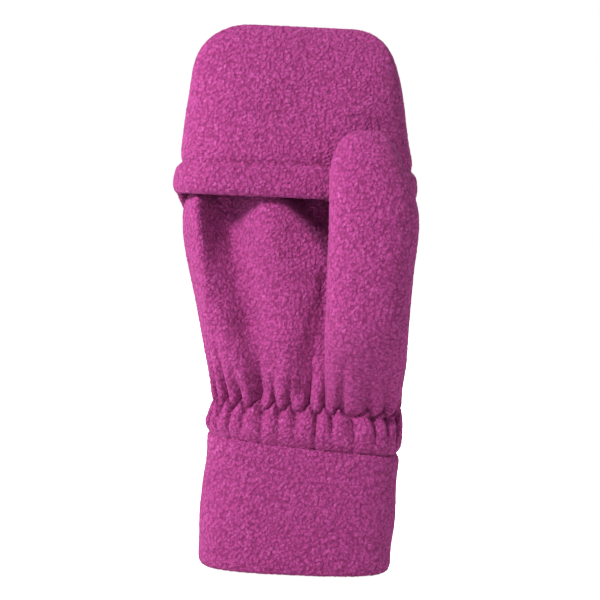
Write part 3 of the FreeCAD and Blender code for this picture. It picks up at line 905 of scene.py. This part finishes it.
white_elastic = grained("white_elastic", colour(226, 224, 220), 0.75, 2600.0, 0.6, 0.2)
magenta_thread = grained("magenta_thread", colour(150, 46, 110), 0.6, 5200.0, 0.4, 0.3)
label_satin = grained("label_satin", colour(232, 231, 228), 0.38, 4200.0, 0.25, 0.1)
loop_tape = grained("loop_tape", colour(146, 46, 108), 0.95, 2400.0, 1.0, 0.15)
hook_tape = grained("hook_tape", colour(140, 40, 100), 0.5, 900.0, 0.2)


# %% Build the elastic
ELASTIC_THICKNESS = 1.2
ELASTIC_INSET = CLOTH + 0.5                     # it lies inside the cloth


def build_elastic():
    rows = [grown(WRIST, ELASTIC_INSET, Z_ELASTIC + step) for step in (-3.0, -1.8, 0.0, 1.8, 3.0)]
    bm, _ = tube(rows, SQUARENESS, HAND_POINTS)
    piece = to_piece(bm, "wrist_elastic_band")
    give_wall(piece, ELASTIC_THICKNESS)
    make_round(piece, 2)
    move_points(piece, gather(points_of(piece)))
    return piece


dress(build_elastic(), white_elastic, "hand", "elastic", "wrist_elastic")

# %% [markdown]
# ## Sewing
# A row of stitches could be one tube along the seam, but real stitches are short and dive into the pile. So each stitch
# is a small capsule of thread, laid on the nearest bit of cloth and sunk into it a little. They are tiny and there are
# hundreds of them, so each has only two dozen faces.

# %% Stitches
def cloth_tree(*pieces):
    """One search tree over the pieces, in millimetres."""
    bm = bmesh.new()
    for piece in pieces:
        bm.from_mesh(piece.data)
    bmesh.ops.scale(bm, vec=(1 / MM,) * 3, verts=bm.verts)
    tree = BVHTree.FromBMesh(bm)
    bm.free()
    return tree


def sew(name, path, tree, body, *nodes, pitch=3.0, length=2.3, radius=0.26, sink=0.10, closed=False):
    """Lays stitches along a path of points, each on the nearest cloth, and dresses them as thread."""
    points = [Vector(p) for p in path] + ([Vector(path[0])] if closed else [])
    lengths = [0.0]
    for first, second in zip(points, points[1:]):
        lengths.append(lengths[-1] + (second - first).length)
    axes = np.array(points)
    bm = bmesh.new()
    for k in range(int(lengths[-1] / pitch)):
        ends = []
        for along in (k * pitch + (pitch - length) / 2, k * pitch + (pitch + length) / 2):
            spot = Vector([np.interp(along, lengths, axes[:, i]) for i in range(3)])
            near, normal, _, _ = tree.find_nearest(spot)
            ends.append(near - normal * sink)
        centre = (ends[0] + ends[1]) / 2
        direction = (ends[1] - ends[0]).normalized()
        turn = direction.to_track_quat("Z", "Y").to_matrix().to_4x4()
        shape = Matrix.Translation(centre) @ turn @ Matrix.Diagonal((radius, radius, length / 2, 1.0))
        bmesh.ops.create_uvsphere(bm, u_segments=6, v_segments=4, radius=1.0, matrix=shape)
    piece = to_piece(bm, name)
    for polygon in piece.data.polygons:
        polygon.use_smooth = True
    dress(piece, magenta_thread, body, "thread", *nodes)


def ring_path(row, height, count=240, first=0, last=None):
    """Points round an outline at a height, all the way or between two of them."""
    points = outline(*row, SQUARENESS, count)
    return [(x, y, height(x, y)) for x, y in points[first:last]]


hand_tree = cloth_tree(palm, back, cuff)
hood_tree = cloth_tree(hood_front, hood_back)
thumb_tree = cloth_tree(thumb)

sew("elastic_stitches", ring_path((-40.0, 46.0, -17.0, 16.6), elastic_height), hand_tree, "hand", "elastic_stitching",
    closed=True)
sew("cuff_seam_stitches", ring_path((-41.5, 45.0, -19.0, 19.0), seam_height(0.6)), hand_tree, "hand",
    "cuff_joining_stitching", closed=True)
sew("cuff_side_stitches", [(-45.0, 0.0, z) for z in (6.0, 30.0, 56.0)], hand_tree, "hand", "cuff_side_seam")

for label, seam_path in (
    ("left_side_stitches", [(-48.0, SIDE_Y, 82.0), (-60.0, SIDE_Y, 120.0), (-66.0, SIDE_Y, 158.0)]),
    ("right_side_stitches", [(52.0, SIDE_Y, 82.0), (52.0, SIDE_Y, 120.0), (52.0, SIDE_Y, 158.0)]),
):
    sew(label, seam_path, hand_tree, "hand", "hand_side_seams")
sew("hood_attachment_stitches", [(x, 22.0, HOOD_HINGE.z - 1.6) for x in (-38.0, -7.0, 24.0)], hand_tree, "hand",
    "hood_attachment_stitching")

hem_points = ring_path((-60.5, 47.0, -27.2, 22.0), HEM_GROOVE, 240, 118, 240)
sew("hem_stitches", hem_points, hood_tree, "hood", "hood_hem_stitching", sink=0.30)
sew("hood_left_stitches", [(-64.0, SIDE_Y, 190.0), (-62.0, SIDE_Y, 220.0), (-54.0, SIDE_Y, 244.0)], hood_tree, "hood",
    "hood_edge_seam")
sew("hood_right_stitches", [(50.0, SIDE_Y, 190.0), (46.0, SIDE_Y, 220.0), (36.0, SIDE_Y, 244.0)], hood_tree, "hood",
    "hood_edge_seam")
thumb_seam_path = [(4.0, -39.5, 122.0), (4.0, -41.0, 150.0), (4.0, -43.0, 186.0)]
sew("thumb_stitches", thumb_seam_path, thumb_tree, "thumb", "thumb_seam")

# %% [markdown]
# ## Fastener patches
# When the hood is flipped back, a hook patch on it catches a loop patch on the back of the hand. Each patch is one face
# with rounded corners, cut fine, laid on the cloth, thickened and sewn round its edge. The loop side is a mat of fuzz,
# so its relief is real and coarse. The hook side is rows of little moulded hooks.

# %% Build the patches
BEHIND = 60.0                                   # well behind the mitten, to look for its cloth from there
HOOK_SPACING = 1.7


def patch_sheet(name, node, tree, thickness, corner):
    """A rounded sheet that follows the cloth behind it."""
    low, high = node_box(node)
    bm = bmesh.new()
    bmesh.ops.create_grid(bm, x_segments=1, y_segments=1, size=0.5)
    bmesh.ops.rotate(bm, verts=bm.verts, cent=(0, 0, 0), matrix=Matrix.Rotation(math.pi / 2, 3, "X"))
    bmesh.ops.scale(bm, vec=(high.x - low.x, 1.0, high.z - low.z), verts=bm.verts)
    bmesh.ops.translate(bm, vec=((low.x + high.x) / 2, BEHIND, (low.z + high.z) / 2), verts=bm.verts)
    bmesh.ops.bevel(bm, geom=bm.verts[:], offset=corner, affect="VERTICES", segments=4, profile=0.5, material=-1)
    bmesh.ops.triangulate(bm, faces=bm.faces)
    bmesh.ops.subdivide_edges(bm, edges=bm.edges, cuts=5, use_grid_fill=True)
    for vertex in bm.verts:
        hit = tree.ray_cast(vertex.co, Vector((0, -1, 0)))[0]
        vertex.co.y = hit.y
    for _ in range(6):
        bmesh.ops.smooth_vert(bm, verts=bm.verts, factor=0.5, use_axis_y=True)
    bmesh.ops.translate(bm, vec=(0, thickness * 0.75, 0), verts=bm.verts)
    piece = to_piece(bm, name)
    flip = [p for p in piece.data.polygons if p.normal.y < 0]
    if len(flip) > len(piece.data.polygons) / 2:
        piece.data.flip_normals()
    give_wall(piece, thickness)
    return piece, low, high


def patch_edge(low, high, inset):
    x0, x1, z0, z1 = low.x + inset, high.x - inset, low.z + inset, high.z - inset
    return [(x0, 40, z0), (x1, 40, z0), (x1, 40, z1), (x0, 40, z1)]


loop_sheet, loop_low, loop_high = patch_sheet("loop_patch_sheet", "loop_patch", hand_tree, 1.2, 2.5)
make_round(loop_sheet, 2)
raise_pile(loop_sheet, 21, 0.9, 0.45)
dress(loop_sheet, loop_tape, "hand", "loop_tape", "loop_patch")
hook_sheet, hook_low, hook_high = patch_sheet("hook_patch_sheet", "hook_patch", hood_tree, 0.8, 2.0)
dress(hook_sheet, hook_tape, "hood", "hook_tape", "hook_patch")


def build_hooks(tree):
    """Rows of small hooks: each is a short bent strip, turned the other way in every second row."""
    bm = bmesh.new()
    row = 0
    z = hook_low.z + 1.6
    while z < hook_high.z - 1.2:
        x = hook_low.x + 1.6
        while x < hook_high.x - 1.2:
            base = tree.ray_cast(Vector((x, BEHIND, z)), Vector((0, -1, 0)))[0]
            side = 1 if row % 2 else -1
            for step in range(3):
                lean = side * 0.16 * step * step
                place = Matrix.Translation((x + lean, base.y + 0.30 + 0.30 * step, z))
                size = Matrix.Diagonal((0.24, 0.36, 0.30, 1.0))
                bmesh.ops.create_cube(bm, size=1.0, matrix=place @ size)
            x += HOOK_SPACING
        z += HOOK_SPACING
        row += 1
    return to_piece(bm, "hook_patch_hooks")


hooks = build_hooks(cloth_tree(hook_sheet))
dress(hooks, hook_tape, "hood", "hook_tape")
for label, low, high, sheet, body in (
    ("loop_patch_stitches", loop_low, loop_high, loop_sheet, "hand"),
    ("hook_patch_stitches", hook_low, hook_high, hook_sheet, "hood"),
):
    edge = patch_edge(low, high, 1.0)
    sew(label, edge, cloth_tree(sheet), body, pitch=2.2, length=1.6, radius=0.18, sink=0.02, closed=True)

# %% [markdown]
# ## The care label
# A blank satin ribbon, folded over and caught in the joining seam, hangs inside the cuff and curls a little.

# %% Build the label
def build_label():
    low, high = node_box("care_label")
    bm = bmesh.new()
    bmesh.ops.create_grid(bm, x_segments=8, y_segments=14, size=0.5)
    bmesh.ops.rotate(bm, verts=bm.verts, cent=(0, 0, 0), matrix=Matrix.Rotation(math.pi / 2, 3, "Y"))
    bmesh.ops.scale(bm, vec=(1.0, high.y - low.y, high.z - low.z), verts=bm.verts)
    bmesh.ops.translate(bm, vec=(high.x, (low.y + high.y) / 2, (low.z + high.z) / 2), verts=bm.verts)
    for vertex in bm.verts:
        down = (high.z - vertex.co.z) / (high.z - low.z)
        vertex.co.x += 2.0 * down * down + 0.5 * math.sin(2.2 * down + vertex.co.y / 6.0)
    piece = to_piece(bm, "care_label_ribbon")
    give_wall(piece, 0.4)
    make_round(piece, 1)
    return piece


dress(build_label(), label_satin, "hand", "label", "care_label")

# %% [markdown]
# ## Floor, light and camera
# The mitten stands on its cuff on a pale floor. Large soft lights keep the shadows in the folds open, and one light
# from the upper left draws the relief of the pile.

# %% Stage
def area_light(name, place, target, size, power):
    data = bpy.data.lights.new(name, "AREA")
    data.shape = "DISK"
    data.size = size
    data.energy = power
    light = bpy.data.objects.new(name, data)
    light.location = place
    light.rotation_euler = (Vector(target) - Vector(place)).to_track_quat("-Z", "Y").to_euler()
    bpy.context.collection.objects.link(light)


def build_stage():
    bm = bmesh.new()
    bmesh.ops.create_grid(bm, x_segments=1, y_segments=1, size=6.0)
    mesh = bpy.data.meshes.new("floor")
    bm.to_mesh(mesh)
    bm.free()
    floor = bpy.data.objects.new("floor", mesh)
    bpy.context.collection.objects.link(floor)
    paper = bpy.data.materials.new("pale_floor")
    paper.use_nodes = True
    nodes, links = paper.node_tree.nodes, paper.node_tree.links
    nodes["Principled BSDF"].inputs["Base Color"].default_value = (0.84, 0.84, 0.84, 1.0)
    nodes["Principled BSDF"].inputs["Roughness"].default_value = 0.9
    nodes["Principled BSDF"].inputs["Emission Color"].default_value = (1.0, 1.0, 1.0, 1.0)
    seen = nodes.new("ShaderNodeLightPath")
    glow = nodes.new("ShaderNodeMath")
    glow.operation = "MULTIPLY"
    glow.inputs[1].default_value = 0.96
    links.new(seen.outputs["Is Camera Ray"], glow.inputs[0])
    links.new(glow.outputs["Value"], nodes["Principled BSDF"].inputs["Emission Strength"])
    mesh.materials.append(paper)


build_stage()
middle = (0.0, 0.0, 0.125)
# name, place, what it points at, width in metres, watts
area_light("key", (-0.85, -0.72, 0.90), middle, 0.30, 28.5)
area_light("fill", (0.45, -1.3, 0.40), middle, 0.9, 1.9)
area_light("left_rim", (-1.1, 0.25, 0.45), middle, 0.8, 4.5)
area_light("right_rim", (1.1, 0.25, 0.45), middle, 0.8, 5.5)
area_light("back", (0.2, 1.2, 0.9), middle, 0.8, 12.0)

world = bpy.data.worlds.new("studio")
world.use_nodes = True
sky, sky_links = world.node_tree.nodes, world.node_tree.links
sky["Background"].inputs["Color"].default_value = (1.0, 1.0, 1.0, 1.0)
sky["Background"].inputs["Strength"].default_value = 0.10
seen_sky = sky.new("ShaderNodeBackground")
seen_by = sky.new("ShaderNodeLightPath")
sky_mix = sky.new("ShaderNodeMixShader")
sky_links.new(seen_by.outputs["Is Camera Ray"], sky_mix.inputs["Fac"])
sky_links.new(sky["Background"].outputs["Background"], sky_mix.inputs[1])
sky_links.new(seen_sky.outputs["Background"], sky_mix.inputs[2])
sky_links.new(sky_mix.outputs["Shader"], sky["World Output"].inputs["Surface"])
seen_sky.inputs["Color"].default_value = (1.0, 1.0, 1.0, 1.0)
seen_sky.inputs["Strength"].default_value = 1.0
bpy.context.scene.world = world
bpy.context.scene.view_settings.view_transform = "Standard"

# %% Camera
EYE = Vector((-0.0044, -0.7, 0.170))
AIM = Vector((-0.00245, 0.0, 0.125))
SPAN = 0.2778                                   # what the picture takes in at the middle of the hand
ROLL = math.radians(2.5)

camera_data = bpy.data.cameras.new("camera")
camera_data.sensor_width = 36.0
camera_data.lens = 36.0 * (AIM - EYE).length / SPAN
camera = bpy.data.objects.new("camera", camera_data)
camera.matrix_world = (
    Matrix.Translation(EYE)
    @ (AIM - EYE).to_track_quat("-Z", "Y").to_matrix().to_4x4()
    @ Matrix.Rotation(ROLL, 4, "Z")
)
bpy.context.collection.objects.link(camera)
bpy.context.scene.camera = camera
